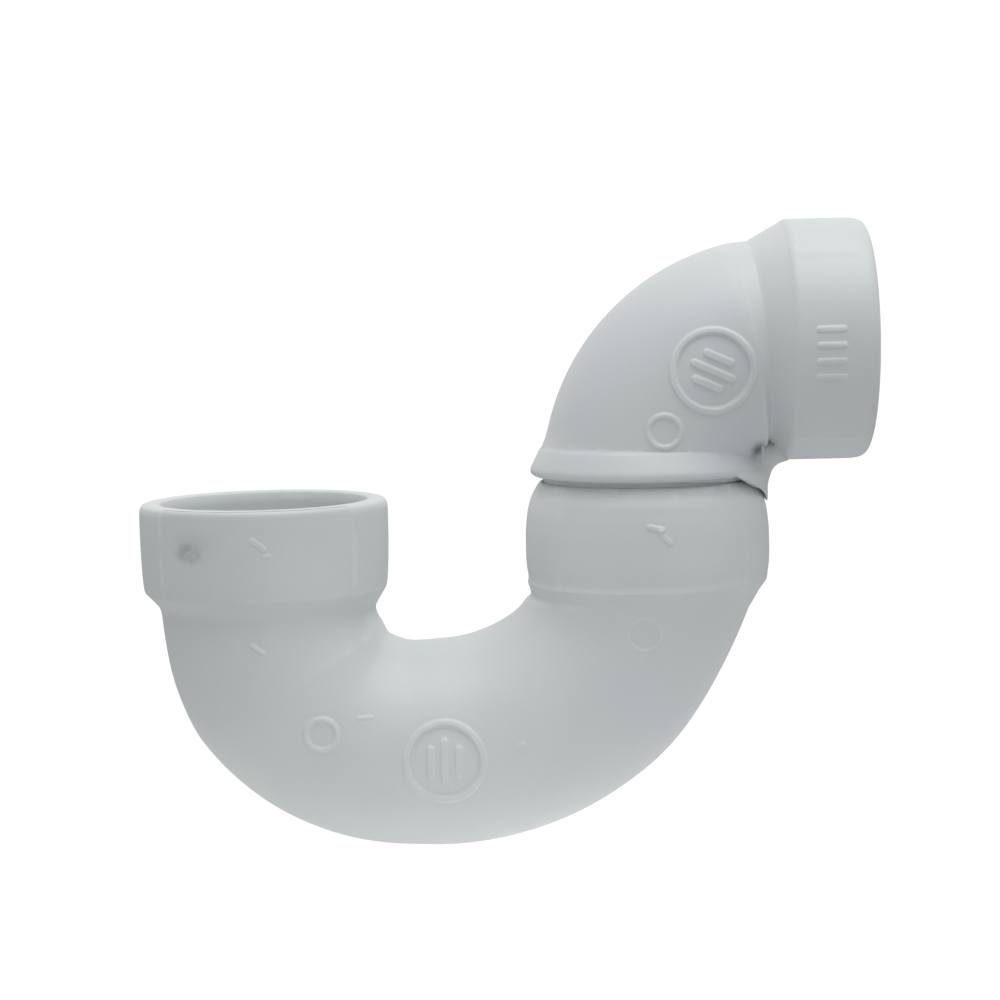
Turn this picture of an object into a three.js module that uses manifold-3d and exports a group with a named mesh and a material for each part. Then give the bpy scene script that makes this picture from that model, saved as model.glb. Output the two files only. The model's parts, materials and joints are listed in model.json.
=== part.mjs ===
// Drain trap for 1-1/2 in. plastic waste pipe, dry fitted from two mouldings.
// The return bend is a U-shaped tube with a socket on each end, both mouths up.
// The trap elbow stands in the second socket on its spigot and ends in a socket that faces sideways.
//
// Frame: millimetres, origin at the centre of the inlet mouth, +Z up out of that mouth,
// +X towards the outlet. The XZ plane is the plane of symmetry.

import * as THREE from 'three';
import { ParametricGeometry } from 'three/addons/geometries/ParametricGeometry.js';
import { mergeVertices } from 'three/addons/utils/BufferGeometryUtils.js';
import Module from 'manifold-3d';

const wasm = await Module();
wasm.setup();

// Driving dimensions

const SEGMENTS = 40; // facets round every tube
const ARC_STEP = 8; // largest turn between two rings of a bend, degrees

const TUBE_RADIUS = 24.13; // outside of 1-1/2 in. pipe, 48.26 mm across
const BORE_RADIUS = 20.45; // the waterway
const SOCKET_RADIUS = 24.35;
const SOCKET_DEPTH = 17.5; // 11/16 in.
const SOCKET_CHAMFER = 0.4;
const STOP_LEDGE = 1.5; // height over which the stop narrows into the waterway

const INLET_HUB_RADIUS = 29.2;
const INLET_HUB_HEIGHT = 25;

const LEG_X = 90.3; // upright axis shared by the second socket and the elbow
const LEG_RIM_Z = 3.7; // its rim stands a little above the inlet's
const LEG_HUB_RADIUS = 28.7;
const LEG_HUB_BOTTOM_Z = -24;
const HEEL_CORNER_X = 102.2; // where the outline's tangents meet under the second hub
const HEEL_CORNER_Z = -56.2;

const SPIGOT_RADIUS = 24;
const SEAT_GAP = 0.35; // under the spigot's end and under the flange
const FLANGE_RADIUS = 27.25;
const FLANGE_EDGE_Z = 5.95; // where the flange is widest
const FLANGE_TOP_Z = 14.5; // where its flare has run into the bend

const ELBOW_BEND_RADIUS = 32.25;
const OUTLET_AXIS_Z = 35.05;
const OUTLET_HUB_RADIUS = 28.15;
const OUTLET_HUB_LENGTH = 18.8;
const OUTLET_RIM_X = 141.7;

const PLASTIC_COLOUR = 0xd6dbda;
const PLASTIC_ROUGHNESS = 0.4;

const UP = 90;
const DOWN = -90;
const LEVEL = 0;

const { degToRad, radToDeg, lerp } = THREE.MathUtils;

// A ring is one circle of a tube: its centre in the XZ plane, the tube's heading there in degrees
// from +X towards +Z, and its radius.
const ring = (x, z, heading, radius) => ({ x, z, heading, radius });

// Rings turned about the upright line at x, from pairs of radius and height.
const uprightRings = (x, heading, pairs) => pairs.map(([radius, z]) => ring(x, z, heading, radius));

// Rings turned about the level line at height z, from pairs of radius and distance along X.
const levelRings = (z, pairs) => pairs.map(([radius, x]) => ring(x, z, LEVEL, radius));

// Follows a centreline. Each leg turns left by turn degrees (right if negative) on a centreline of
// radius bend, or goes straight for run, and ends with the tube at the given radius.
function followCentreline(start, legs) {
  const rings = [start];
  for (const { turn = 0, bend = 0, run = 0, radius } of legs) {
    const from = rings.at(-1);
    const arm = Math.sign(turn) * bend;
    const steps = Math.max(1, Math.ceil(Math.abs(turn) / ARC_STEP));
    for (let step = 1; step <= steps; step += 1) {
      const share = step / steps;
      const heading = from.heading + turn * share;
      const before = degToRad(from.heading);
      const after = degToRad(heading);
      const x = from.x + arm * (Math.sin(after) - Math.sin(before)) + run * share * Math.cos(before);
      const z = from.z + arm * (Math.cos(before) - Math.cos(after)) + run * share * Math.sin(before);
      rings.push(ring(x, z, heading, lerp(from.radius, radius, share)));
    }
  }
  return rings;
}

// The two ends of a ring in the XZ plane: on the outside of a left-hand bend, and in its throat.
function ringEnds({ x, z, heading, radius }) {
  const across = new THREE.Vector2(Math.sin(degToRad(heading)), -Math.cos(degToRad(heading)));
  const centre = new THREE.Vector2(x, z);
  return [
    centre.clone().addScaledVector(across, radius),
    centre.clone().addScaledVector(across, -radius),
  ];
}

// The ring that spans two points of the XZ plane.
function ringBetween(outer, throat) {
  const heading = radToDeg(Math.atan2(outer.x - throat.x, throat.y - outer.y));
  return ring((outer.x + throat.x) / 2, (outer.y + throat.y) / 2, heading, outer.distanceTo(throat) / 2);
}

// Rings that fan round a throat: the outer ends run on a smooth curve that passes near corner, and
// the throat ends hardly move.
function fanRings(from, to, corner, steps) {
  const [outerStart, throatStart] = ringEnds(from);
  const [outerEnd, throatEnd] = ringEnds(to);
  const outer = new THREE.QuadraticBezierCurve(outerStart, corner, outerEnd);
  const throat = new THREE.LineCurve(throatStart, throatEnd);
  const rings = [];
  for (let step = 1; step <= steps; step += 1) {
    rings.push(ringBetween(outer.getPoint(step / steps), throat.getPoint(step / steps)));
  }
  return rings;
}

// The wall inside a run of rings, walked backwards.
const boreThrough = (rings) => rings.map(({ x, z, heading }) => ring(x, z, heading, BORE_RADIUS)).reverse();

// A socket's radii from its mouth down to the waterway, each with its depth below the rim.
const SOCKET_PROFILE = [
  [SOCKET_RADIUS + SOCKET_CHAMFER, 0],
  [SOCKET_RADIUS, SOCKET_CHAMFER],
  [SOCKET_RADIUS, SOCKET_DEPTH],
  [BORE_RADIUS, SOCKET_DEPTH],
];

// A closed skin through a loop of rings, out along the outside and back along the inside.
function skin(rings) {
  const place = (u, v, target) => {
    const { x, z, heading, radius } = rings[Math.round(v * rings.length) % rings.length];
    const angle = (-2 * Math.PI * (Math.round(u * SEGMENTS) % SEGMENTS)) / SEGMENTS;
    const across = radius * Math.cos(angle);
    const turned = degToRad(heading);
    target.set(x - across * Math.sin(turned), radius * Math.sin(angle), z + across * Math.cos(turned));
  };
  return new ParametricGeometry(place, SEGMENTS, rings.length);
}

// Outside of the inlet hub: rounded rim, slight taper, and the shoulder under it.
function inletHubOutside() {
  const radius = INLET_HUB_RADIUS;
  const bottom = -INLET_HUB_HEIGHT;
  return uprightRings(0, DOWN, [
    [radius - 1.1, 0],
    [radius - 0.35, -0.35],
    [radius, -1.2],
    [radius, -7],
    [radius - 0.35, bottom + 9.5],
    [radius - 0.75, bottom + 6],
    [radius - 1.3, bottom + 3.5],
    [radius - 2.1, bottom + 1.6],
    [radius - 3, bottom],
  ]);
}

// The U-shaped tube, from under the inlet hub to the foot of the second one. It is a little wider at
// the inlet end, and its heel bulges slightly.
function bendOutside() {
  return followCentreline(ring(0.6, -27.8, -86, 25), [
    { turn: 26, bend: 33.8, radius: 25.6 },
    { turn: 30, bend: 30.6, radius: 24.5 },
    { turn: 30, bend: 37.6, radius: TUBE_RADIUS },
    { run: 5, radius: 24.5 },
    { turn: 26.4, bend: 54.6, radius: 24.4 },
    { turn: 12, bend: 54.6, radius: 24.2 },
  ]);
}

// Outside of the second hub, up from its shoulder to a rim that is drawn in like a nose.
function legHubOutside() {
  const radius = LEG_HUB_RADIUS;
  const bottom = LEG_HUB_BOTTOM_Z;
  const foot = ring(LEG_X - 2.2, bottom - 1.9, 86.6, radius - 2.7);
  const shoulder = [
    ring(LEG_X - 1.1, bottom - 0.3, 88, radius - 2),
    ring(LEG_X - 0.5, bottom + 1.9, 89, radius - 1.1),
  ];
  const barrel = uprightRings(LEG_X, UP, [
    [radius - 0.35, bottom + 5],
    [radius, bottom + 9],
    [radius - 0.15, LEG_RIM_Z - 11],
    [radius - 0.55, LEG_RIM_Z - 6.9],
    [radius - 1.3, LEG_RIM_Z - 4.1],
    [radius - 2.8, LEG_RIM_Z - 1.1],
    [radius - 3.3, LEG_RIM_Z],
  ]);
  return { foot, rings: [...shoulder, ...barrel] };
}

// The return bend, one moulding from rim to rim.
function returnBend() {
  const bend = bendOutside();
  const leg = legHubOutside();
  const corner = new THREE.Vector2(HEEL_CORNER_X, HEEL_CORNER_Z);
  const fan = fanRings(bend.at(-1), leg.foot, corner, 5);
  const inletSocket = SOCKET_PROFILE.map(([radius, depth]) => ring(0, -depth, DOWN, radius)).reverse();
  const legSocket = SOCKET_PROFILE.map(([radius, depth]) => ring(LEG_X, LEG_RIM_Z - depth, UP, radius));
  return skin([
    ...inletHubOutside(),
    ...bend,
    ...fan,
    ...leg.rings,
    ...legSocket,
    ring(LEG_X - 0.4, LEG_RIM_Z - SOCKET_DEPTH - STOP_LEDGE, UP, BORE_RADIUS),
    ...boreThrough([...bend, ...fan]),
    ring(0, -SOCKET_DEPTH - STOP_LEDGE, DOWN, BORE_RADIUS),
    ...inletSocket,
  ]);
}

// Tube of the trap elbow: spigot, quarter bend and outlet hub, from the spigot's end to the outlet rim.
function elbowTube() {
  const spigotEnd = LEG_RIM_Z - SOCKET_DEPTH + SEAT_GAP;
  const spigot = uprightRings(LEG_X, UP, [
    [SPIGOT_RADIUS - 0.8, spigotEnd],
    [SPIGOT_RADIUS, spigotEnd + 1.2],
  ]);
  const bendStart = ring(LEG_X, OUTLET_AXIS_Z - ELBOW_BEND_RADIUS, UP, TUBE_RADIUS);
  const bend = followCentreline(bendStart, [{ turn: -80, bend: ELBOW_BEND_RADIUS, radius: TUBE_RADIUS }]);
  const radius = OUTLET_HUB_RADIUS;
  const shoulder = OUTLET_RIM_X - OUTLET_HUB_LENGTH;
  const hub = levelRings(OUTLET_AXIS_Z, [
    [radius - 0.9, shoulder - 0.7],
    [radius, shoulder + 1],
    [radius, OUTLET_RIM_X - 3.5],
    [radius - 0.3, OUTLET_RIM_X - 1.6],
    [radius - 0.9, OUTLET_RIM_X - 0.5],
    [radius - 1.9, OUTLET_RIM_X],
  ]);
  const socket = levelRings(OUTLET_AXIS_Z, SOCKET_PROFILE.map(([r, depth]) => [r, OUTLET_RIM_X - depth]));
  return skin([
    ...spigot,
    ...bend,
    ...hub,
    ...socket,
    ring(OUTLET_RIM_X - SOCKET_DEPTH - STOP_LEDGE, OUTLET_AXIS_Z, LEVEL, BORE_RADIUS),
    ...boreThrough(bend),
    ring(LEG_X, spigotEnd, UP, BORE_RADIUS),
  ]);
}

// The conical flange that seats on the second hub's rim. Its inner side lies inside the elbow's wall.
function flange() {
  const core = (BORE_RADIUS + TUBE_RADIUS) / 2;
  const underside = LEG_RIM_Z + SEAT_GAP;
  const profile = [
    [core, underside],
    [TUBE_RADIUS + 0.9, underside],
    [FLANGE_RADIUS - 0.3, FLANGE_EDGE_Z - 0.6],
    [FLANGE_RADIUS, FLANGE_EDGE_Z],
    [FLANGE_RADIUS - 0.4, FLANGE_EDGE_Z + 1.1],
    [TUBE_RADIUS + 0.1, FLANGE_TOP_Z - 2.6],
    [core, FLANGE_TOP_Z],
    [core, underside],
  ];
  const geometry = new THREE.LatheGeometry(profile.map(([r, z]) => new THREE.Vector2(r, z)), SEGMENTS);
  return geometry.rotateX(Math.PI / 2).translate(LEG_X, 0, 0);
}

// A geometry as a solid whose shared corners are merged.
function toSolid(geometry) {
  geometry.deleteAttribute('normal');
  geometry.deleteAttribute('uv');
  const merged = mergeVertices(geometry, 1e-4);
  const vertProperties = new Float32Array(merged.attributes.position.array);
  const triVerts = new Uint32Array(merged.index.array);
  return new wasm.Manifold(new wasm.Mesh({ numProp: 3, vertProperties, triVerts }));
}

// A solid as a geometry that a mesh can show.
function toGeometry(solid) {
  const { vertProperties, triVerts } = solid.getMesh();
  const geometry = new THREE.BufferGeometry();
  geometry.setAttribute('position', new THREE.BufferAttribute(vertProperties, 3));
  geometry.setIndex(new THREE.BufferAttribute(triVerts, 1));
  geometry.computeVertexNormals();
  return geometry;
}

// One moulding: a named mesh in its own material.
function moulding(name, solid) {
  const plastic = new THREE.MeshStandardMaterial({
    color: PLASTIC_COLOUR,
    roughness: PLASTIC_ROUGHNESS,
    metalness: 0,
  });
  const mesh = new THREE.Mesh(toGeometry(solid), plastic);
  mesh.name = name;
  return mesh;
}

const group = new THREE.Group();
group.add(moulding('return_bend', toSolid(returnBend())));
group.add(moulding('trap_elbow', toSolid(elbowTube()).add(toSolid(flange()))));

export default group;
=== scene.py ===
"""A drain trap for 1-1/2 in. plastic pipe, dry fitted from two mouldings: a return bend and a trap elbow.

The row frame has its origin at the centre of the inlet mouth, +Z up and +X towards the outlet, and
the XZ plane is the plane of symmetry. Outlines are worked out in millimetres in that plane, and
become metres when a mesh is made. The moulded marks are on the front, which faces -Y.
"""

import json
import math

import bmesh
import bpy
import numpy as np
from mathutils import Matrix, Vector


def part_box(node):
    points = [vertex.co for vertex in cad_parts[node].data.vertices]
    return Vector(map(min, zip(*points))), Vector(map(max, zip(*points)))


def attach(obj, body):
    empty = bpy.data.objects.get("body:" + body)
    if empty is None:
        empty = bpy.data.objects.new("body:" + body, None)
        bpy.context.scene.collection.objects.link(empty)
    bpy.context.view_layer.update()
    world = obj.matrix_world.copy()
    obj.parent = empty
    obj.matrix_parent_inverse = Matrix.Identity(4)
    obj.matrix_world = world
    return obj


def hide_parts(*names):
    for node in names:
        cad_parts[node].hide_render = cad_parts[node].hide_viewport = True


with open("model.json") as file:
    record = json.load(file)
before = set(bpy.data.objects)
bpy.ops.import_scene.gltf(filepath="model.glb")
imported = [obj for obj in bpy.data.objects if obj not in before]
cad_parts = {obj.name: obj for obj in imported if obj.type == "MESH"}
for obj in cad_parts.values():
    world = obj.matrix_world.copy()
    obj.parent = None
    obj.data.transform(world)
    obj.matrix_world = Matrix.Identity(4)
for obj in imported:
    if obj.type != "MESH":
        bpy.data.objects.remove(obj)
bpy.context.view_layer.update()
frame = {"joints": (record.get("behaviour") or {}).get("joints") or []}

# ---------------------------------------------------------------------------------------------
# Driving dimensions, in millimetres and degrees

MM = 0.001

bend_low, bend_high = (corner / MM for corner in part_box("return_bend"))
elbow_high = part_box("trap_elbow")[1] / MM

TUBE_RADIUS = 24.13
BORE_RADIUS = 20.45
SOCKET_RADIUS = 24.35
SOCKET_DEPTH = 17.5
SOCKET_CHAMFER = 0.4
STOP_LEDGE = 1.5

INLET_HUB_RADIUS = -bend_low.x
INLET_HUB_HEIGHT = 25

LEG_X = frame["joints"][0]["pos_m"][0] / MM
LEG_RIM_Z = bend_high.z
LEG_LIP_Z = LEG_RIM_Z - 0.75
LEG_HUB_RADIUS = bend_high.x - LEG_X
LEG_HUB_BOTTOM_Z = -24
HEEL_CORNER = (102.2, -56.2)

SPIGOT_RADIUS = 24
SEAT_GAP = 0.35
FLANGE_RADIUS = 27.25
FLANGE_EDGE_Z = 5.95

# The heel is on the elbow's +X side. Each spread is a half angle, and the angle it fades away over.
HEEL_SPREAD = (56, 34)
FLARE_SPREAD = (24, 19)
TONGUE_SPREAD = (31, 31)
WEB_SPREAD = (27, 10)
HEEL_HEM_Z = 1.5

OUTLET_RIM_X = elbow_high.x
OUTLET_HUB_RADIUS = elbow_high.y
OUTLET_AXIS_Z = elbow_high.z - OUTLET_HUB_RADIUS
OUTLET_HUB_LENGTH = 18.8
ELBOW_BEND_RADIUS = 32.25
ELBOW_BEND_CENTRE = (LEG_X + ELBOW_BEND_RADIUS, OUTLET_AXIS_Z - ELBOW_BEND_RADIUS)

UP, DOWN, LEVEL = 90, -90, 0

# Mesh sizes
SEGMENTS = 96
FLANGE_SEGMENTS = 144
ARC_STEP = 2.0
OUTSIDE_SPACING = 1.1
BORE_SPACING = 2.5
SMOOTH_TURN = 7.0
SPLIT = 5
RELAX_PASSES = 24
CREASE_ANGLE = 32.0

# Wear comes where the surface turns by more than this, in radians a millimetre
WEAR_START = 0.12
WEAR_RANGE = 0.5

# ---------------------------------------------------------------------------------------------
# Rings: circles of a tube, each with its centre in the XZ plane, its heading there from +X
# towards +Z, and its radius


def ring(x, z, heading, radius):
    return np.array([x, z, math.radians(heading), radius], float)


def upright_rings(x, heading, pairs):
    """Rings about the upright line at x, from pairs of radius and height."""
    return [ring(x, z, heading, radius) for radius, z in pairs]


def level_rings(z, pairs):
    """Rings about the level line at height z, from pairs of radius and distance along X."""
    return [ring(x, z, LEVEL, radius) for radius, x in pairs]


def follow_centreline(start, legs):
    """Rings along a centreline. Each leg is (turn, bend, run, radius at its end): it turns left by
    turn degrees on a centreline of radius bend, or goes straight for run."""
    rings = [start]
    for turn, bend, run, radius in legs:
        x, z, before, radius_before = rings[-1]
        arm = math.copysign(bend, turn)
        steps = max(1, math.ceil(abs(turn) / ARC_STEP))
        for share in np.arange(1, steps + 1) / steps:
            after = before + math.radians(turn) * share
            rings.append(
                np.array(
                    [
                        x + arm * (math.sin(after) - math.sin(before)) + run * share * math.cos(before),
                        z + arm * (math.cos(before) - math.cos(after)) + run * share * math.sin(before),
                        after,
                        radius_before + (radius - radius_before) * share,
                    ]
                )
            )
    return rings


def ring_ends(rings):
    """The ends of each ring in the XZ plane: to the right of its heading, and to the left."""
    x, z, heading, radius = np.atleast_2d(rings).T
    across = np.stack([np.sin(heading), -np.cos(heading)], 1) * radius[:, None]
    centre = np.stack([x, z], 1)
    return centre + across, centre - across


def ring_between(right, left):
    """The ring that spans two points of the XZ plane."""
    dx, dz = right[0] - left[0], right[1] - left[1]
    middle_x, middle_z = (right[0] + left[0]) / 2, (right[1] + left[1]) / 2
    return np.array([middle_x, middle_z, math.atan2(dx, -dz), math.hypot(dx, dz) / 2])


def fan_rings(start, end, corner, steps):
    """Rings that fan round a throat. Their right ends run on a smooth curve that passes near corner."""
    right_start, left_start = (point[0] for point in ring_ends(start))
    right_end, left_end = (point[0] for point in ring_ends(end))
    corner = np.array(corner)
    rings = []
    for t in np.arange(1, steps + 1) / steps:
        right = (1 - t) ** 2 * right_start + 2 * t * (1 - t) * corner + t * t * right_end
        rings.append(ring_between(right, left_start + (left_end - left_start) * t))
    return rings


def bore_through(rings):
    """The wall inside a run of rings, walked backwards."""
    return [np.array([x, z, heading, BORE_RADIUS]) for x, z, heading, _ in reversed(rings)]


def gentle_slopes(t, values):
    """Slopes at the keys of a smooth curve that never overshoots them, for each column."""
    gap = np.diff(t)[:, None]
    secant = np.diff(values, axis=0) / gap
    before, after = secant[:-1], secant[1:]
    heavy_after, heavy_before = 2 * gap[1:] + gap[:-1], gap[1:] + 2 * gap[:-1]
    same_way = before * after > 0
    safe_before, safe_after = np.where(same_way, before, 1), np.where(same_way, after, 1)
    mean = (heavy_after + heavy_before) / (heavy_after / safe_before + heavy_before / safe_after)
    return np.vstack([secant[:1], np.where(same_way, mean, 0), secant[-1:]])


def smooth_rings(keys, spacing):
    """Rings on a smooth curve through the key rings, closer together where the outline turns."""
    keys = np.array(keys)
    steps = [np.diff(ends, axis=0) for ends in ring_ends(keys)]
    reach = sum(np.linalg.norm(step, axis=1) for step in steps) / 2
    turning = np.zeros(len(keys))
    for step in steps:
        angle = np.unwrap(np.arctan2(step[:, 1], step[:, 0]))
        turning[1:-1] = np.maximum(turning[1:-1], np.abs(np.diff(angle)))
    turning = np.degrees(np.maximum(turning[:-1], turning[1:]))
    counts = np.ceil(np.maximum(reach / spacing, turning / SMOOTH_TURN)).astype(int)
    t = np.concatenate([[0], np.cumsum(reach)])
    slopes = gentle_slopes(t, keys)
    rings = [keys[:1]]
    for i, count in enumerate(np.maximum(counts, 1)):
        u = (np.arange(1, count + 1) / count)[:, None]
        gap = t[i + 1] - t[i]
        rings.append(
            keys[i] * (1 + 2 * u) * (1 - u) ** 2
            + slopes[i] * gap * u * (1 - u) ** 2
            + keys[i + 1] * u * u * (3 - 2 * u)
            + slopes[i + 1] * gap * u * u * (u - 1)
        )
    return np.vstack(rings)


def place(rings, along, angle):
    """Points of the skin, and the outward direction there, at ring number along and angle round it.
    Between two rings the skin is a smooth curve through its neighbours."""
    count = len(rings)
    i = np.floor(along).astype(int)
    t = (along - i)[:, None]
    p0, p1, p2, p3 = (rings[(i + k) % count] for k in (-1, 0, 1, 2))
    m1, m2 = (p2 - p0) / 2, (p3 - p1) / 2
    between = (
        p1 * (1 + 2 * t) * (1 - t) ** 2
        + m1 * t * (1 - t) ** 2
        + p2 * t * t * (3 - 2 * t)
        + m2 * t * t * (t - 1)
    )
    x, z, heading, radius = np.where(t == 0, p1, between).T
    outward = np.stack([-np.cos(angle) * np.sin(heading), np.sin(angle), np.cos(angle) * np.cos(heading)], 1)
    centre = np.stack([x, np.zeros_like(x), z], 1)
    return centre + outward * radius[:, None], outward


# ---------------------------------------------------------------------------------------------
# Relief: moulded marks and label panels, as a height over the plain skin


def ease(value):
    """0 below 0, 1 above 1, and a smooth step between."""
    value = np.clip(value, 0, 1)
    return value * value * (3 - 2 * value)


def within(distance, soft):
    """1 where distance is well below 0 and 0 where it is well above, over a width of soft."""
    return ease(0.5 - distance / soft)


def bar_distance(x, z, middle, length, angle, width):
    """Distance outside a round-ended bar."""
    c, s = math.cos(math.radians(angle)), math.sin(math.radians(angle))
    u, v = (x - middle[0]) * c + (z - middle[1]) * s, (z - middle[1]) * c - (x - middle[0]) * s
    u = np.maximum(np.abs(u) - (length - width) / 2, 0)
    return np.hypot(u, v) - width / 2


class Bar:
    """A raised round-ended bar."""

    def __init__(self, middle, length, angle, width=1.1, height=0.35):
        self.middle, self.length, self.angle, self.width, self.height = middle, length, angle, width, height
        self.reach = length / 2 + 0.6

    def lift(self, x, z):
        distance = bar_distance(x, z, self.middle, self.length, self.angle, self.width)
        return self.height * within(distance, 0.6)


class Boss:
    """A round mark: a raised rim with a lower floor."""

    def __init__(self, middle, radius, rim=1.1, height=0.4, floor=-0.1):
        self.middle, self.radius, self.rim, self.height, self.floor = middle, radius, rim, height, floor
        self.reach = radius + 0.7

    def lift(self, x, z):
        r = np.hypot(x - self.middle[0], z - self.middle[1])
        inner = within(r - (self.radius - self.rim), 0.7)
        return within(r - self.radius, 0.7) * (self.height * (1 - inner) + self.floor * inner)


def badge(middle, radius, bars):
    """A rimmed boss with a lower floor, and plain bars on it. Each bar is (right, up, length, angle)."""
    marks = [Boss(middle, radius, rim=1.5, height=0.5, floor=-0.35)]
    for right, up, length, angle in bars:
        marks.append(Bar((middle[0] + right, middle[1] + up), length, angle, width=1.7, height=0.5))
    return marks


class Panel:
    """A shallow label panel on a hub, front and back."""

    DEPTH = 0.2
    SOFT = 2.6
    DETAIL_MARGIN = 1.6

    def __init__(self, axis, centre, start, end, half_angle, turned=0.0, fade=0.0):
        """From start to end along the hub. With fade, the panel dies away over that length at its start."""
        self.axis, self.centre, self.start, self.end = axis, centre, start, end
        self.half_angle, self.turned, self.fade = half_angle, turned, fade

    def coordinates(self, x, y, z):
        """Distance along the hub, and angle away from the front or back in degrees."""
        if self.axis == "z":
            along, side = z, x - self.centre
        else:
            along, side = x, z - self.centre
        return along, np.degrees(np.arctan2(side, np.abs(y))) - self.turned

    def edge_distances(self, x, y, z):
        along, angle = self.coordinates(x, y, z)
        radius = np.hypot(y, x - self.centre if self.axis == "z" else z - self.centre)
        sides = (np.abs(angle) - self.half_angle) * np.radians(1) * radius
        start = np.full_like(along, -np.inf) if self.fade else self.start - along
        return np.maximum(start, along - self.end), sides

    def lift(self, x, y, z):
        ends, sides = self.edge_distances(x, y, z)
        depth = self.DEPTH * within(ends, self.SOFT) * within(sides, self.SOFT)
        if self.fade:
            depth *= ease((self.coordinates(x, y, z)[0] - self.start) / self.fade)
        return -depth


class Relief:
    """Marks on the front, and panels front and back."""

    def __init__(self, marks, panels):
        self.marks, self.panels = marks, panels

    def lift(self, points):
        x, y, z = points.T
        height = np.zeros(len(points))
        for mark in self.marks:
            height += np.where(y < 0, mark.lift(x, z), 0)
        for panel in self.panels:
            height += panel.lift(x, y, z)
        return height

    def wants_detail(self, points):
        """True near a mark or the edge of a panel."""
        x, y, z = points.T
        near = np.zeros(len(points), bool)
        for mark in self.marks:
            near |= (y < 0) & (np.hypot(x - mark.middle[0], z - mark.middle[1]) < mark.reach + 1.2)
        for panel in self.panels:
            ends, sides = panel.edge_distances(x, y, z)
            margin = panel.DETAIL_MARGIN
            inside = (ends < margin) & (sides < margin) & (panel.coordinates(x, y, z)[0] > panel.start - 1)
            near |= inside & ((np.abs(ends) < margin) | (np.abs(sides) < margin))
        return near


# ---------------------------------------------------------------------------------------------
# Meshes


def skin(rings, relief, outside, name):
    """A closed skin through a loop of rings. Its relief is on the first rings, which are the outside.
    Cells with relief are split into small ones."""
    count = len(rings)
    along, column = (v.ravel() for v in np.meshgrid(np.arange(count), np.arange(SEGMENTS), indexing="ij"))
    cells = place(rings, along + 0.5, column_angle(column + 0.5))[0]
    fine = (relief.wants_detail(cells) & (along < outside - 1)).reshape(count, SEGMENTS)
    numbers = {}
    faces = []

    def number(i, j):
        key = (i % (count * SPLIT), j % (SEGMENTS * SPLIT))
        return numbers.setdefault(key, len(numbers))

    for i in range(count):
        for j in range(SEGMENTS):
            a, b = i * SPLIT, j * SPLIT
            if fine[i, j]:
                for p in range(a, a + SPLIT):
                    for q in range(b, b + SPLIT):
                        faces.append([number(p, q), number(p + 1, q), number(p + 1, q + 1), number(p, q + 1)])
                continue
            before, after = fine[i, j - 1], fine[i, (j + 1) % SEGMENTS]
            behind, ahead = fine[i - 1, j], fine[(i + 1) % count, j]
            corners = [(a + k, b) for k in range(0, SPLIT, 1 if before else SPLIT)]
            corners += [(a + SPLIT, b + k) for k in range(0, SPLIT, 1 if ahead else SPLIT)]
            corners += [(a + SPLIT - k, b + SPLIT) for k in range(0, SPLIT, 1 if after else SPLIT)]
            corners += [(a, b + SPLIT - k) for k in range(0, SPLIT, 1 if behind else SPLIT)]
            faces.append([number(*corner) for corner in corners])

    keys = np.array(list(numbers)) / SPLIT
    points, normals = lifted_points(rings, relief, outside, keys[:, 0], column_angle(keys[:, 1]))
    mesh = bpy.data.meshes.new(name)
    mesh.from_pydata(points * MM, [], faces)
    mesh.attributes.new("true_normal", "FLOAT_VECTOR", "POINT").data.foreach_set("vector", normals.ravel())
    return link_object(mesh, name)


def column_angle(column):
    return math.pi / 2 + column * 2 * math.pi / SEGMENTS


def lifted_points(rings, relief, outside, along, angle):
    """Points on the skin with its relief, and the normals there."""

    def at(along, angle):
        points, outward = place(rings, along % len(rings), angle)
        lift = np.where(along <= outside - 1, relief.lift(points), 0)
        return points + outward * lift[:, None]

    step_along, step_angle = 0.05, 0.003
    ahead = at(along + step_along, angle) - at(along - step_along, angle)
    round_it = at(along, angle + step_angle) - at(along, angle - step_angle)
    normals = np.cross(ahead, round_it)
    normals /= np.maximum(np.linalg.norm(normals, axis=1), 1e-12)[:, None]
    return at(along, angle), normals


def lathe(name, profile, centre_x, start, end, steps):
    """A closed solid: a profile of (radius, z) swept round an upright line from one angle to
    another. profile(angle) gives the profile at each angle."""
    bm = bmesh.new()
    full = end - start >= 360
    turns = np.radians(np.linspace(start, end, steps, endpoint=not full))
    rows = []
    for turn in turns:
        row = [
            bm.verts.new((centre_x + r * math.cos(turn), r * math.sin(turn), z))
            for r, z in profile(math.degrees(turn))
        ]
        rows.append(row)
    last = len(rows) if full else len(rows) - 1
    for i in range(last):
        this, after = rows[i], rows[(i + 1) % len(rows)]
        for j in range(len(this)):
            k = (j + 1) % len(this)
            bm.faces.new((this[j], after[j], after[k], this[k]))
    if not full:
        bm.faces.new(rows[0])
        bm.faces.new(reversed(rows[-1]))
    bmesh.ops.recalc_face_normals(bm, faces=bm.faces)
    mesh = bpy.data.meshes.new(name)
    bm.to_mesh(mesh)
    bm.free()
    mesh.transform(Matrix.Scale(MM, 4))
    return link_object(mesh, name)


def link_object(mesh, name):
    thing = bpy.data.objects.new(name, mesh)
    bpy.context.scene.collection.objects.link(thing)
    return thing


def join_solids(thing, others):
    """Unites other solids with thing, and removes them."""
    for other in others:
        union = thing.modifiers.new("union", "BOOLEAN")
        union.operation = "UNION"
        union.solver = "MANIFOLD"
        union.object = other
        shaped = thing.evaluated_get(bpy.context.evaluated_depsgraph_get())
        mesh = bpy.data.meshes.new_from_object(shaped)
        thing.modifiers.clear()
        thing.data = mesh
        bpy.data.objects.remove(other)


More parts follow.
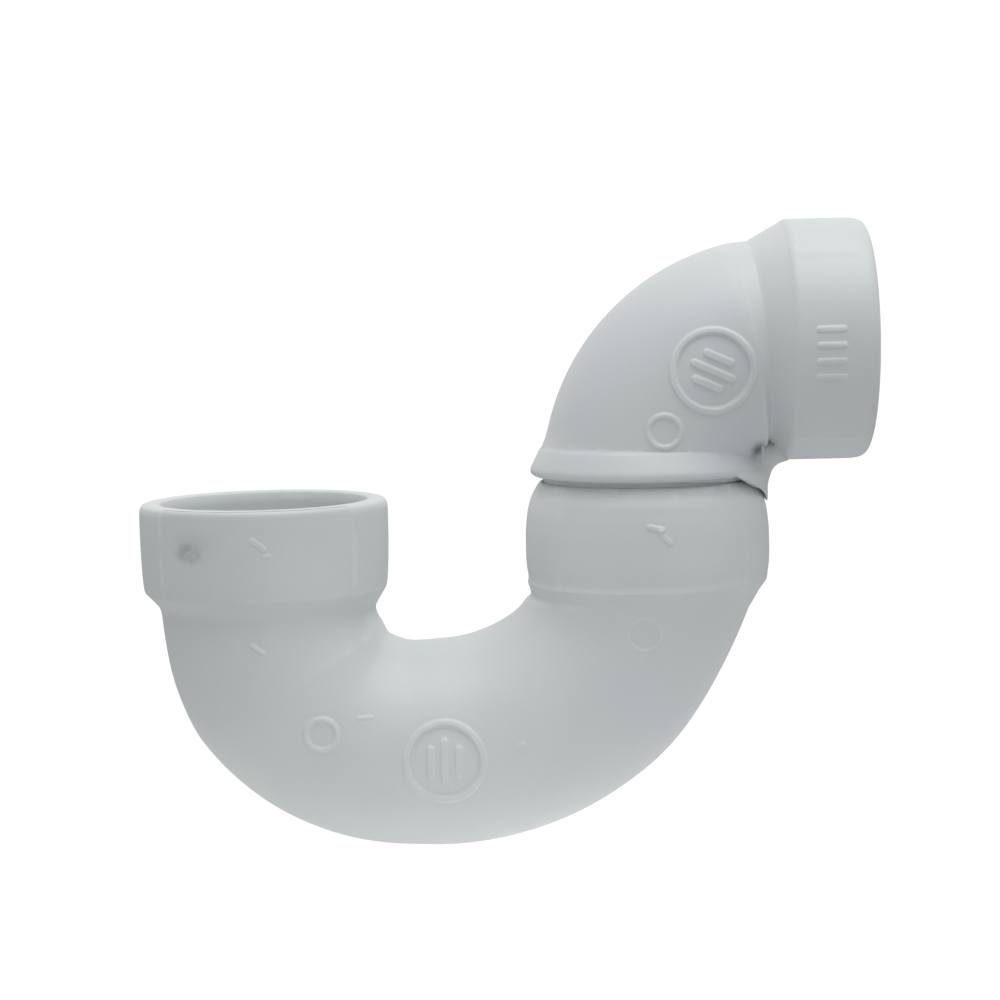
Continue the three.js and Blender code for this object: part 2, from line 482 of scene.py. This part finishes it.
def finish_mesh(thing, grime_and_shade):
    """Smooth shading with creases, and the attributes that the plastic reads: wear on outer edges,
    and a darkening that is a real scuff in one place and painted shade in the crevices."""
    mesh = thing.data
    bm = bmesh.new()
    bm.from_mesh(mesh)
    crease = math.radians(CREASE_ANGLE)
    bend_of = np.zeros(len(bm.verts))
    for edge in bm.edges:
        turn = edge.calc_face_angle_signed(0.0)
        edge.smooth = abs(turn) < crease
        share = turn / max(edge.calc_length() / MM, 0.15)
        for vert in edge.verts:
            bend_of[vert.index] = max(bend_of[vert.index], share)
    for face in bm.faces:
        face.smooth = True
    normal_key = bm.verts.layers.float_vector.get("true_normal")
    normals = np.zeros((len(bm.verts), 3))
    if normal_key:
        for vert in bm.verts:
            if all(edge.smooth for edge in vert.link_edges):
                known = vert[normal_key]
                if known.length > 0.9 and known.dot(vert.normal) > 0.8:
                    normals[vert.index] = known.normalized()
        bm.verts.layers.float_vector.remove(normal_key)
    bm.to_mesh(mesh)
    bm.free()
    mesh.normals_split_custom_set_from_vertices(normals)
    points = np.zeros(len(mesh.vertices) * 3)
    mesh.vertices.foreach_get("co", points)
    points = points.reshape(-1, 3) / MM
    wear = ease((bend_of - WEAR_START) / WEAR_RANGE)
    mesh.attributes.new("wear", "FLOAT", "POINT").data.foreach_set("value", wear.astype(np.float32))
    # A real scuff, and painted shade in the groove and the crotch, which the plastic mixes towards
    # near-black.
    dirt_and_shade = np.clip(grime_and_shade(points), 0, 1)
    mesh.attributes.new("grime_and_shade", "FLOAT", "POINT").data.foreach_set("value", dirt_and_shade.astype(np.float32))
    mesh.update()


# ---------------------------------------------------------------------------------------------
# Return bend

SOCKET_PROFILE = [
    (SOCKET_RADIUS + SOCKET_CHAMFER, 0),
    (SOCKET_RADIUS, SOCKET_CHAMFER),
    (SOCKET_RADIUS, SOCKET_DEPTH),
    (BORE_RADIUS, SOCKET_DEPTH),
]


def inlet_hub_outside():
    """From the rounded rim, down the tapered barrel, to the shoulder."""
    radius, bottom = INLET_HUB_RADIUS, -INLET_HUB_HEIGHT
    return upright_rings(
        0,
        DOWN,
        [
            (radius - 1.4, 0),
            (radius - 0.75, -0.25),
            (radius - 0.3, -0.85),
            (radius - 0.06, -1.9),
            (radius, -3.4),
            (radius, -7),
            (radius - 0.15, bottom + 11),
            (radius - 0.4, bottom + 6.5),
            (radius - 0.6, bottom + 4.9),
        ],
    ) + [
        ring_between((0.85 - radius, bottom + 4.2), (radius - 0.75, bottom + 4.2)),
        ring_between((1.6 - radius, bottom + 3.4), (radius - 1.2, bottom + 3.3)),
        ring_between((3.1 - radius, bottom + 1.8), (radius - 2.2, bottom + 1.7)),
        ring_between((4.05 - radius, bottom + 0.5), (radius - 2.9, bottom + 0.5)),
        ring_between((4.5 - radius, bottom - 1.2), (radius - 3.4, bottom - 0.5)),
    ]


def bend_outside():
    """The U-shaped tube, a little wider at the inlet end."""
    return follow_centreline(
        ring(0.6, -27.8, -86, 25),
        [
            (26, 33.8, 0, 25.6),
            (30, 30.6, 0, 24.5),
            (30, 37.6, 0, TUBE_RADIUS),
            (0, 0, 5, 24.5),
            (26.4, 54.6, 0, 24.4),
            (12, 54.6, 0, 24.2),
        ],
    )


def leg_hub_outside():
    """The foot and shoulder under the second hub, then its barrel up to the drawn-in rim."""
    radius, bottom, rim = LEG_HUB_RADIUS, LEG_HUB_BOTTOM_Z, LEG_LIP_Z
    foot = ring(LEG_X - 2.2, bottom - 1.9, 86.6, radius - 2.7)
    shoulder = [
        ring_between((LEG_X + radius - 3.4, bottom - 0.9), (LEG_X - radius + 0.95, bottom + 0.4)),
        ring_between((LEG_X + radius - 2.3, bottom + 1.0), (LEG_X - radius + 0.85, bottom + 1.4)),
        ring_between((LEG_X + radius - 1.1, bottom + 2.6), (LEG_X - radius + 0.45, bottom + 2.7)),
        ring_between((LEG_X + radius - 0.7, bottom + 3.3), (LEG_X - radius + 0.3, bottom + 3.3)),
    ]
    barrel = upright_rings(
        LEG_X,
        UP,
        [
            (radius - 0.5, bottom + 4.4),
            (radius - 0.15, bottom + 7),
            (radius, bottom + 10),
            (radius - 0.05, rim - 12.2),
            (radius - 0.25, rim - 9.5),
            (radius - 0.5, rim - 7.4),
            (radius - 0.75, rim - 6.1),
            (radius - 1.1, rim - 4.8),
            (radius - 1.5, rim - 3.6),
            (radius - 2.0, rim - 2.6),
            (radius - 2.5, rim - 1.7),
            (radius - 3.1, rim - 0.7),
            (radius - 3.45, rim - 0.25),
            (radius - 3.8, rim),
        ],
    )
    return foot, shoulder + barrel


def return_bend_rings():
    bend = bend_outside()
    foot, leg = leg_hub_outside()
    fan = fan_rings(bend[-1], foot, HEEL_CORNER, 16)
    inlet = [ring(0, -depth, DOWN, radius) for radius, depth in reversed(SOCKET_PROFILE)]
    outlet = [ring(LEG_X, LEG_RIM_Z - depth, UP, radius) for radius, depth in SOCKET_PROFILE]
    for lip in outlet[:2]:
        lip[1] += LEG_LIP_Z - LEG_RIM_Z
    bore = [
        ring(LEG_X - 0.4, LEG_RIM_Z - SOCKET_DEPTH - STOP_LEDGE, UP, BORE_RADIUS),
        *bore_through(bend + fan)[::2],
        ring(0, -SOCKET_DEPTH - STOP_LEDGE, DOWN, BORE_RADIUS),
    ]
    hub = smooth_rings(inlet_hub_outside() + bend[:1], OUTSIDE_SPACING)
    tube = relax(smooth_rings(bend + fan, OUTSIDE_SPACING))[1:]
    outside = np.vstack([hub, tube, smooth_rings(fan[-1:] + leg, OUTSIDE_SPACING)[1:]])
    meeting = slice(len(hub) - 3, len(hub) + 9)
    outside[meeting] = relax(outside[meeting])
    inside = [*straight(outlet), smooth_rings(bore, BORE_SPACING), *straight(inlet)]
    return np.vstack([outside, *inside]), len(outside)


def relax(rings):
    """The same rings, with any sudden change of curvature evened out."""
    rings = rings.copy()
    for _ in range(RELAX_PASSES):
        rings[1:-1] = rings[1:-1] / 2 + (rings[:-2] + rings[2:]) / 4
    return rings


def straight(rings):
    """Socket walls between their corner rings, as separate straight runs."""
    runs = [smooth_rings(pair, BORE_SPACING) for pair in zip(rings[:-1], rings[1:])]
    return runs[:1] + [run[1:] for run in runs[1:]]


BEND_MARKS = [
    *badge((41.8, -58.8), 9.6, [(-3.2, 0, 7.5, 90), (0, 0, 11, 90), (3.2, 0, 7.5, 90)]),
    Boss((13.9, -51.7), 4.1),
    Boss((87.9, -30.4), 3.9, rim=0.5, height=0.1, floor=-0.25),
    Bar((0, -31.7), 4.2, -35, width=1.0),
    Bar((1.2, -7.6), 4.4, -38, width=1.3, height=0.2),
    Bar((3.0, -10.2), 2.0, 0, width=0.9, height=0.2),
    Bar((90.6, -5.9), 4.2, -12, width=1.2),
    Bar((92.6, -8.0), 4.4, -52, width=1.2),
    Bar((23.7, -48.3), 3.6, 0, width=0.7, height=0.2),
    Boss((59.4, -55.3), 0.9, rim=0.9, height=0.25, floor=0.25),
]
BEND_PANELS = [
    Panel("z", 0, -INLET_HUB_HEIGHT + 1.5, -1.2, 47, fade=3.5),
    Panel("z", LEG_X, LEG_HUB_BOTTOM_Z + 1.5, -2.2, 46, fade=3.5),
]


def make_return_bend():
    rings, outside = return_bend_rings()
    return skin(rings, Relief(BEND_MARKS, BEND_PANELS), outside, "return_bend_moulding")


# ---------------------------------------------------------------------------------------------
# Trap elbow

ELBOW_OUTER_TURN = 82
ELBOW_THROAT_TURN = 63

# The tube widens at its foot, and is a little pinched where it meets the outlet hub.
FOOT_SWELL = 1.2
FOOT_SWELL_TOP_Z = 16
FOOT_SWELL_LENGTH = 6.5
PINCH_SHARE = 0.07
THROAT_PINCH = 0.022
OUTER_PINCH = 0.008


def elbow_bend_rings():
    """The quarter bend. It turns less in its throat than outside, so that its end leans back."""
    centre = np.array(ELBOW_BEND_CENTRE)
    rings = []
    for share in np.linspace(0, 1, 60):
        swell = 0.3 * (1 - share)
        outer, throat = (math.radians(turn * share) for turn in (ELBOW_OUTER_TURN, ELBOW_THROAT_TURN))
        far = ELBOW_BEND_RADIUS + TUBE_RADIUS + swell
        height = centre[1] + far * math.sin(outer)
        far += FOOT_SWELL * float(np.clip((FOOT_SWELL_TOP_Z - height) / FOOT_SWELL_LENGTH, 0, 1)) ** 2
        near = ELBOW_BEND_RADIUS - TUBE_RADIUS - swell
        right = centre + near * np.array([-math.cos(throat), math.sin(throat)])
        left = centre + far * np.array([-math.cos(outer), math.sin(outer)])
        pinch = ease(1 - (1 - share) / PINCH_SHARE)
        across = left - right
        right, left = right + across * THROAT_PINCH * pinch, left - across * OUTER_PINCH * pinch
        rings.append(ring_between(right, left))
    return rings


def elbow_rings():
    spigot_end = LEG_RIM_Z - SOCKET_DEPTH + SEAT_GAP
    bend = elbow_bend_rings()
    spigot = upright_rings(
        LEG_X,
        UP,
        [
            (SPIGOT_RADIUS - 0.8, spigot_end),
            (SPIGOT_RADIUS - 0.25, spigot_end + 0.35),
            (SPIGOT_RADIUS, spigot_end + 1.2),
            (SPIGOT_RADIUS, 0),
            (SPIGOT_RADIUS + 0.1, LEG_RIM_Z - 2),
            (SPIGOT_RADIUS + 0.1, LEG_RIM_Z + 0.9),
        ],
    )
    bend_start = LEG_RIM_Z + 1.2
    lower = spigot + [r for r in bend if ring_ends(r)[1][0][1] > bend_start]
    radius, shoulder, rim = OUTLET_HUB_RADIUS, OUTLET_RIM_X - OUTLET_HUB_LENGTH, OUTLET_RIM_X
    cone = [bend[-1], ring(shoulder - 0.9, OUTLET_AXIS_Z, LEVEL, radius - 0.9)]
    hub = level_rings(
        OUTLET_AXIS_Z,
        [
            (radius - 0.9, shoulder - 0.9),
            (radius - 0.35, shoulder - 0.1),
            (radius, shoulder + 1),
            (radius, rim - 4),
            (radius - 0.12, rim - 2.6),
            (radius - 0.5, rim - 1.2),
            (radius - 1.1, rim - 0.4),
            (radius - 1.9, rim),
        ],
    )
    socket = level_rings(OUTLET_AXIS_Z, [(r, rim - depth) for r, depth in SOCKET_PROFILE])
    bore_bend = follow_centreline(
        ring(LEG_X, ELBOW_BEND_CENTRE[1], UP, BORE_RADIUS), [(-80, ELBOW_BEND_RADIUS, 0, BORE_RADIUS)]
    )
    bore = [
        ring(rim - SOCKET_DEPTH - STOP_LEDGE, OUTLET_AXIS_Z, LEVEL, BORE_RADIUS),
        *bore_through(bore_bend),
        ring(LEG_X, spigot_end, UP, BORE_RADIUS),
    ]
    outside = np.vstack(
        [
            smooth_rings(lower, OUTSIDE_SPACING),
            smooth_rings(cone, OUTSIDE_SPACING)[1:],
            smooth_rings(hub, OUTSIDE_SPACING)[1:],
        ]
    )
    inside = [*straight(socket), smooth_rings(bore, BORE_SPACING)[:-1], bore[-1][None]]
    return np.vstack([outside, *inside]), len(outside)


def flange_profile(_):
    """Radii and heights of the conical flange, closed inside the elbow's wall."""
    core = (BORE_RADIUS + TUBE_RADIUS) / 2
    radius, edge, underside = FLANGE_RADIUS, FLANGE_EDGE_Z, LEG_RIM_Z + SEAT_GAP
    keys = [
        (radius - 2.3, underside),
        (radius - 1.65, underside + 0.12),
        (radius - 0.75, underside + 0.45),
        (radius - 0.25, underside + 0.8),
        (radius - 0.05, underside + 1.15),
        (radius, edge - 0.3),
        (radius, edge),
        (radius - 0.12, edge + 0.45),
        (radius - 0.45, edge + 1.15),
        (radius - 1.05, edge + 2.25),
        (radius - 2.0, edge + 4.2),
        (radius - 2.4, edge + 4.8),
        (radius - 3.6, edge + 5.8),
    ]
    return [(core, underside)] + keys + [(core, edge + 6.4)]


HEEL_CORE_RADIUS = TUBE_RADIUS + 0.4
HEEL_FLOOR_Z = 4.5
HEEL_ROOF_Z = 9.2
WEB_REACH = 3.7
WEB_FLOOR_Z = 4.6
HEEL_UNDERSIDE = [
    (25.3, 3.9),
    (25.6, 2.9),
    (26.1, 1.9),
    (26.75, 0.85),
    (27.3, -0.2),
    (27.75, -1.3),
    (28.1, -2.5),
    (28.35, -2.75),
    (28.5, -2.2),
    (28.5, -0.6),
    (28.5, 0.6),
]
HEEL_OUTSIDE = [
    (28.5, 1.6),
    (28.5, 2.6),
    (28.35, 3.6),
    (28.05, 4.5),
    (27.55, 5.4),
    (26.85, 6.4),
    (26.1, 7.6),
    (25.4, 8.8),
    (25.0, 9.2),
]
HEEL_FLARE = [
    (28.6, 1.6),
    (28.8, 2.5),
    (29.15, 3.5),
    (29.5, 4.5),
    (30.1, 5.4),
    (31.2, 6.2),
    (33.4, 6.9),
    (33.4, 11.8),
    (28.0, 12.2),
]


def spread_at(turn, spread):
    """How much of a heel's feature there is at an angle from +X."""
    half_angle, fade = spread
    return float(ease((half_angle - abs(turn)) / fade))


def heel_profile(turn):
    """A skirt at an angle from +X. It hangs from the flange over the second hub's rim, reaches lowest
    at its middle, and flares into the outlet hub there."""
    skirt, flare, tongue = (spread_at(turn, spread) for spread in (HEEL_SPREAD, FLARE_SPREAD, TONGUE_SPREAD))
    hidden = np.array([FLANGE_RADIUS - 0.6, FLANGE_EDGE_Z])
    plain, flared = np.array(HEEL_OUTSIDE), np.array(HEEL_FLARE)
    loop = np.vstack([HEEL_UNDERSIDE, plain + (flared - plain) * flare])
    below = np.minimum(loop[:, 1] - HEEL_HEM_Z, 0)
    loop[:, 1] -= below * (1 - tongue)
    loop = hidden + (loop - hidden) * skirt
    return [(HEEL_CORE_RADIUS, HEEL_FLOOR_Z), *map(tuple, loop), (HEEL_CORE_RADIUS, HEEL_ROOF_Z + flare)]


def web_profile(turn):
    """The web that closes the crotch between the flange and the throat, at an angle from +X."""
    inner = HEEL_CORE_RADIUS - 0.3
    outer = HEEL_CORE_RADIUS + WEB_REACH * spread_at(turn, WEB_SPREAD)
    side = math.radians(turn)
    roof = []
    for share in np.linspace(1, 0, 6):
        radius = inner + (outer - HEEL_CORE_RADIUS + 0.3) * share
        x, y = LEG_X + radius * math.cos(side), radius * math.sin(side)
        throat = ELBOW_BEND_RADIUS - math.sqrt(TUBE_RADIUS**2 - y * y)
        height = math.sqrt(max(throat**2 - (ELBOW_BEND_CENTRE[0] - x) ** 2, 4))
        roof.append((radius, ELBOW_BEND_CENTRE[1] + height + 1.6 + 1.4 * share))
    return [(inner, WEB_FLOOR_Z), (outer, WEB_FLOOR_Z), *roof]


ELBOW_MARKS = [
    *badge((104.3, 29.0), 9.8, [(1.3, 2.9, 7.5, -24), (0, 0, 11, -24), (-1.3, -2.9, 7.5, -24)]),
    Boss((93.1, 15.6), 4.2),
    Bar((130.6, 37.9), 6.8, 0, width=1.3),
    Bar((130.6, 34.3), 6.8, 0, width=1.3),
    Bar((130.6, 30.7), 6.8, 0, width=1.3),
    Bar((130.6, 27.1), 6.8, 0, width=1.3),
]
ELBOW_PANELS = [Panel("x", OUTLET_AXIS_Z, 124.0, 138.8, 47, turned=-3.3)]


def make_trap_elbow():
    rings, outside = elbow_rings()
    elbow = skin(rings, Relief(ELBOW_MARKS, ELBOW_PANELS), outside, "trap_elbow_moulding")
    heel_half, web_half = HEEL_SPREAD[0], WEB_SPREAD[0]
    solids = [
        lathe("flange", flange_profile, LEG_X, 0, 360, FLANGE_SEGMENTS),
        lathe("heel", heel_profile, LEG_X, -heel_half, heel_half, 2 * heel_half + 1),
        lathe("web", web_profile, LEG_X, -web_half, web_half, 2 * web_half + 1),
    ]
    join_solids(elbow, solids)
    return elbow


# ---------------------------------------------------------------------------------------------
# Plastic


SCUFF = (-15.1, -9.6)
SCUFF_HALO = (-13.8, -7.6)
# Painted shade on the second hub's outside starts at this height and deepens towards its rim.
GROOVE_SHADE_Z = -1.5
# The middle of the painted shade in the elbow's crotch.
CROTCH = (115.8, 9.9)

# The parting line's width is in millimetres. Colours are linear.
PARTING_WIDTH = 0.8
PLASTIC_LIGHT = (0.676, 0.724, 0.718)
PLASTIC_SHADE = (0.640, 0.688, 0.685)
PLASTIC_TINT = (0.655, 0.686, 0.704)
PLASTIC_SPECK = (0.54, 0.57, 0.56)
PLASTIC_WORN = (0.73, 0.755, 0.755)
# Near-black that darkens the real scuff, and paints shade into the second hub's groove and the elbow's
# crotch.
GRIME_AND_SHADE = (0.09, 0.10, 0.10)


def bend_scuff_and_groove_shade(points):
    """A scuff on the inlet hub, and painted shade on the second hub's outside, darker towards its rim under
    the flange.
    """
    x, y, z = points.T
    core = within(np.hypot((x - SCUFF[0]) / 1.2, z - SCUFF[1]) - 1.9, 2.2)
    halo = within(np.hypot((x - SCUFF_HALO[0]) / 1.6, z - SCUFF_HALO[1]) - 2.4, 5.0)
    on_leg_hub = (np.hypot(x - LEG_X, y) > SOCKET_RADIUS + 0.3) & (x > LEG_X / 2)
    # Painted shade: the second hub's outside darkens towards its rim, under the flange's overhang.
    groove = ease((z - GROOVE_SHADE_Z) / 4.0) * on_leg_hub
    return (0.42 * core + 0.12 * halo) * (y < 0) + 0.2 * groove


def elbow_crotch_shade(points):
    """Painted shade in the crotch between the flange and the outlet hub."""
    x, y, z = points.T
    # Painted shade, off the middle plane, where the flange meets the outlet hub.
    return 0.85 * within(np.hypot(x - CROTCH[0], z - CROTCH[1]) - 1.6, 2.6) * (np.abs(y) > 9)


# The Mix node has sockets of the same names for each data type, so its colour ones go by number.
MIX_COLOUR_INPUTS = (6, 7)
MIX_COLOUR_OUTPUT = 2


def moulded_plastic(name, seed):
    """Slightly cool white PVC, semi-gloss, with faint mottling, orange peel, a parting line, worn
    edges, a scuff, and painted shade darkening the second hub's groove and the elbow's crotch."""
    material = bpy.data.materials.new(name)
    material.use_nodes = True
    tree = material.node_tree
    tree.nodes.clear()

    def node(kind, **settings):
        made = tree.nodes.new(kind)
        for key, value in settings.items():
            if key in made.inputs:
                made.inputs[key].default_value = value
            else:
                setattr(made, key, value)
        return made

    def link(source, output, target, socket):
        tree.links.new(source.outputs[output], target.inputs[socket])

    def noise(scale, detail, offset):
        shift = node("ShaderNodeMapping", Location=(offset, seed, -offset))
        link(where, "Object", shift, "Vector")
        made = node("ShaderNodeTexNoise", Scale=scale, Detail=detail, Roughness=0.55)
        link(shift, "Vector", made, "Vector")
        return made

    def blend(factor, socket, first, second):
        made = node("ShaderNodeMix", data_type="RGBA")
        link(factor, socket, made, "Factor")
        for value, key in zip((first, second), MIX_COLOUR_INPUTS):
            if isinstance(value, tuple):
                made.inputs[key].default_value = (*value, 1)
            else:
                tree.links.new(value, made.inputs[key])
        return made.outputs[MIX_COLOUR_OUTPUT]

    def ramp(source, socket, low, high):
        made = node("ShaderNodeMapRange", interpolation_type="SMOOTHSTEP")
        made.inputs["From Min"].default_value = low
        made.inputs["From Max"].default_value = high
        link(source, socket, made, "Value")
        return made

    where = node("ShaderNodeTexCoord")
    worn = node("ShaderNodeAttribute", attribute_name="wear")
    # This attribute carries a real scuff and painted shade in the groove and the crotch.
    dirt_and_shade_attribute = node("ShaderNodeAttribute", attribute_name="grime_and_shade")

    cloud = ramp(noise(28, 3, 1.7), "Fac", 0.35, 0.68)
    tint = ramp(noise(17, 2, 5.1), "Fac", 0.38, 0.65)
    speck = ramp(noise(620, 2, 3.3), "Fac", 0.62, 0.78)
    body = blend(cloud, "Result", PLASTIC_LIGHT, PLASTIC_SHADE)
    body = blend(tint, "Result", body, PLASTIC_TINT)
    faint = node("ShaderNodeMath", operation="MULTIPLY")
    link(speck, "Result", faint, 0)
    faint.inputs[1].default_value = 0.10
    body = blend(faint, "Value", body, PLASTIC_SPECK)
    rubbed = node("ShaderNodeMath", operation="MULTIPLY")
    link(worn, "Fac", rubbed, 0)
    link(ramp(noise(240, 3, 8.4), "Fac", 0.3, 0.7), "Result", rubbed, 1)
    body = blend(rubbed, "Value", body, PLASTIC_WORN)
    # Darkens towards near-black at the scuff, and as painted shade in the groove and the crotch.
    smeared_dirt_and_shade = node("ShaderNodeMath", operation="MULTIPLY")
    link(dirt_and_shade_attribute, "Fac", smeared_dirt_and_shade, 0)
    link(ramp(noise(300, 3, 2.2), "Fac", 0.15, 0.55), "Result", smeared_dirt_and_shade, 1)
    body = blend(smeared_dirt_and_shade, "Value", body, GRIME_AND_SHADE)

    gloss = node("ShaderNodeMapRange")
    gloss.inputs["To Min"].default_value = 0.34
    gloss.inputs["To Max"].default_value = 0.48
    link(noise(90, 4, 6.0), "Fac", gloss, "Value")
    rough = node("ShaderNodeMath", operation="ADD")
    link(gloss, "Result", rough, 0)
    scuffed = node("ShaderNodeMath", operation="MULTIPLY")
    link(rubbed, "Value", scuffed, 0)
    scuffed.inputs[1].default_value = 0.15
    link(scuffed, "Value", rough, 1)

    waves = node("ShaderNodeBump", Strength=0.5, Distance=0.00025)
    link(noise(120, 2, 4.0), "Fac", waves, "Height")
    peel = node("ShaderNodeBump", Strength=0.35, Distance=0.00003)
    link(noise(1300, 2, 9.0), "Fac", peel, "Height")
    link(waves, "Normal", peel, "Normal")

    across = node("ShaderNodeSeparateXYZ")
    link(where, "Object", across, "Vector")
    off_middle = node("ShaderNodeMath", operation="ABSOLUTE")
    link(across, "Y", off_middle, 0)
    ridge = node("ShaderNodeMapRange", interpolation_type="SMOOTHSTEP")
    ridge.inputs["From Min"].default_value = PARTING_WIDTH / 2 * MM
    ridge.inputs["From Max"].default_value = 0
    link(off_middle, "Value", ridge, "Value")
    parting = node("ShaderNodeBump", Strength=0.6, Distance=0.00012)
    link(ridge, "Result", parting, "Height")
    link(peel, "Normal", parting, "Normal")

    shader = node("ShaderNodeBsdfPrincipled")
    shader.inputs["IOR"].default_value = 1.52
    tree.links.new(body, shader.inputs["Base Color"])
    link(rough, "Value", shader, "Roughness")
    link(parting, "Normal", shader, "Normal")
    output = node("ShaderNodeOutputMaterial")
    link(shader, "BSDF", output, "Surface")
    return material


def dress(thing, body, node_name, material, grime_and_shade):
    finish_mesh(thing, grime_and_shade)
    thing.data.materials.clear()
    thing.data.materials.append(material)
    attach(thing, body)
    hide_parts(node_name)


# The last argument gives the darkening: a scuff and painted groove shade on the bend, and painted crotch
# shade on the elbow.
dress(make_return_bend(), "bend", "return_bend", moulded_plastic("pvc_bend", 3.0), bend_scuff_and_groove_shade)
dress(make_trap_elbow(), "elbow", "trap_elbow", moulded_plastic("pvc_elbow", 11.0), elbow_crotch_shade)

# ---------------------------------------------------------------------------------------------
# Studio

FLOOR_SIZE = 6.0
FLOOR_COLOUR = (0.25, 0.25, 0.25, 1)
FLOOR_GLOW_NEAR = 0.75
FLOOR_GLOW_FAR = 0.11
FLOOR_GLOW_REACH = 0.22
PAPER_WHITE = 1.05
WORLD_GLOW_FRONT = 0.50
WORLD_GLOW_BACK = 0.84
WORLD_BRIGHT_SIDE = (0.1, 0.995, 0.0)
OVERHEAD_POWER = 4.2
OVERHEAD_SIZE = 0.9
OVERHEAD_PLACE = (180, -250, 870)


def white_to_the_eye(tree, shader_output, white_output, surface):
    """Shows plain white, and lights the scene with something else."""
    seen = tree.nodes.new("ShaderNodeLightPath")
    mix = tree.nodes.new("ShaderNodeMixShader")
    tree.links.new(seen.outputs["Is Camera Ray"], mix.inputs[0])
    tree.links.new(shader_output, mix.inputs[1])
    tree.links.new(white_output, mix.inputs[2])
    tree.links.new(mix.outputs[0], surface)


def make_floor():
    bm = bmesh.new()
    bmesh.ops.create_grid(bm, x_segments=1, y_segments=1, size=FLOOR_SIZE / 2)
    mesh = bpy.data.meshes.new("floor")
    bm.to_mesh(mesh)
    bm.free()
    floor = bpy.data.objects.new("floor", mesh)
    floor.location = ((bend_low.x + elbow_high.x) / 2 * MM, 0, (bend_low.z - 0.1) * MM)
    bpy.context.scene.collection.objects.link(floor)
    material = bpy.data.materials.new("floor")
    material.use_nodes = True
    tree = material.node_tree
    shader = tree.nodes["Principled BSDF"]
    shader.inputs["Base Color"].default_value = FLOOR_COLOUR
    shader.inputs["Roughness"].default_value = 0.9
    shader.inputs["Emission Color"].default_value = (1, 1, 1, 1)
    where = tree.nodes.new("ShaderNodeTexCoord")
    spread = tree.nodes.new("ShaderNodeMapping")
    near = tree.nodes.new("ShaderNodeTexGradient")
    level = tree.nodes.new("ShaderNodeMapRange")
    spread.inputs["Scale"].default_value = [1 / FLOOR_GLOW_REACH] * 3
    near.gradient_type = "SPHERICAL"
    level.inputs["To Min"].default_value = FLOOR_GLOW_FAR
    level.inputs["To Max"].default_value = FLOOR_GLOW_NEAR
    tree.links.new(where.outputs["Object"], spread.inputs["Vector"])
    tree.links.new(spread.outputs[0], near.inputs[0])
    tree.links.new(near.outputs["Fac"], level.inputs["Value"])
    tree.links.new(level.outputs["Result"], shader.inputs["Emission Strength"])
    white = tree.nodes.new("ShaderNodeEmission")
    white.inputs["Strength"].default_value = PAPER_WHITE
    surface = tree.nodes["Material Output"].inputs["Surface"]
    white_to_the_eye(tree, shader.outputs["BSDF"], white.outputs["Emission"], surface)
    mesh.materials.append(material)


def add_light(name, place_mm, size, power, target_mm):
    """A soft square lamp that points at a target."""
    lamp = bpy.data.lights.new(name, "AREA")
    lamp.shape = "SQUARE"
    lamp.size = size
    lamp.energy = power
    thing = bpy.data.objects.new(name, lamp)
    thing.location = Vector(place_mm) * MM
    aim = (Vector(target_mm) - Vector(place_mm)).to_track_quat("-Z", "Y")
    thing.rotation_mode = "QUATERNION"
    thing.rotation_quaternion = aim
    bpy.context.scene.collection.objects.link(thing)


def make_world():
    """A white room, brighter behind the object than in front of it."""
    world = bpy.data.worlds.new("studio")
    bpy.context.scene.world = world
    world.use_nodes = True
    tree = world.node_tree
    tree.nodes.clear()
    where = tree.nodes.new("ShaderNodeTexCoord")
    side = tree.nodes.new("ShaderNodeVectorMath")
    level = tree.nodes.new("ShaderNodeMapRange")
    glow = tree.nodes.new("ShaderNodeBackground")
    white = tree.nodes.new("ShaderNodeBackground")
    output = tree.nodes.new("ShaderNodeOutputWorld")
    level.inputs["From Min"].default_value = -1.0
    level.inputs["From Max"].default_value = 1.0
    level.inputs["To Min"].default_value = WORLD_GLOW_FRONT
    level.inputs["To Max"].default_value = WORLD_GLOW_BACK
    glow.inputs["Color"].default_value = (1, 1, 1, 1)
    white.inputs["Color"].default_value = (1, 1, 1, 1)
    white.inputs["Strength"].default_value = PAPER_WHITE
    side.operation = "DOT_PRODUCT"
    side.inputs[1].default_value = WORLD_BRIGHT_SIDE
    tree.links.new(where.outputs["Generated"], side.inputs[0])
    tree.links.new(side.outputs["Value"], level.inputs["Value"])
    tree.links.new(level.outputs["Result"], glow.inputs["Strength"])
    white_to_the_eye(tree, glow.outputs[0], white.outputs[0], output.inputs["Surface"])


make_floor()
make_world()
centre = ((bend_low.x + elbow_high.x) / 2, 0, (bend_low.z + elbow_high.z) / 2)
add_light("overhead", OVERHEAD_PLACE, OVERHEAD_SIZE, OVERHEAD_POWER, centre)

CAMERA_PLACE = (54.7, -558.6, 51.1)
CAMERA_LENS = 85.57
CAMERA_DOWN = 5.353
CAMERA_PAN = -0.106
CAMERA_ROLL = -1.292


def make_camera():
    """The photograph's viewpoint: in front, a little below the outlet's top, looking slightly down."""
    data = bpy.data.cameras.new("camera")
    data.lens = CAMERA_LENS
    data.sensor_width = 36
    data.clip_start, data.clip_end = 0.01, 50
    camera = bpy.data.objects.new("camera", data)
    turn = (
        Matrix.Rotation(math.radians(CAMERA_PAN), 4, "Z")
        @ Matrix.Rotation(math.radians(90 - CAMERA_DOWN), 4, "X")
        @ Matrix.Rotation(math.radians(CAMERA_ROLL), 4, "Z")
    )
    camera.matrix_world = Matrix.Translation(Vector(CAMERA_PLACE) * MM) @ turn
    bpy.context.scene.collection.objects.link(camera)
    bpy.context.scene.camera = camera


make_camera()
bpy.context.scene.view_settings.view_transform = "Standard"

bpy.context.view_layer.update()
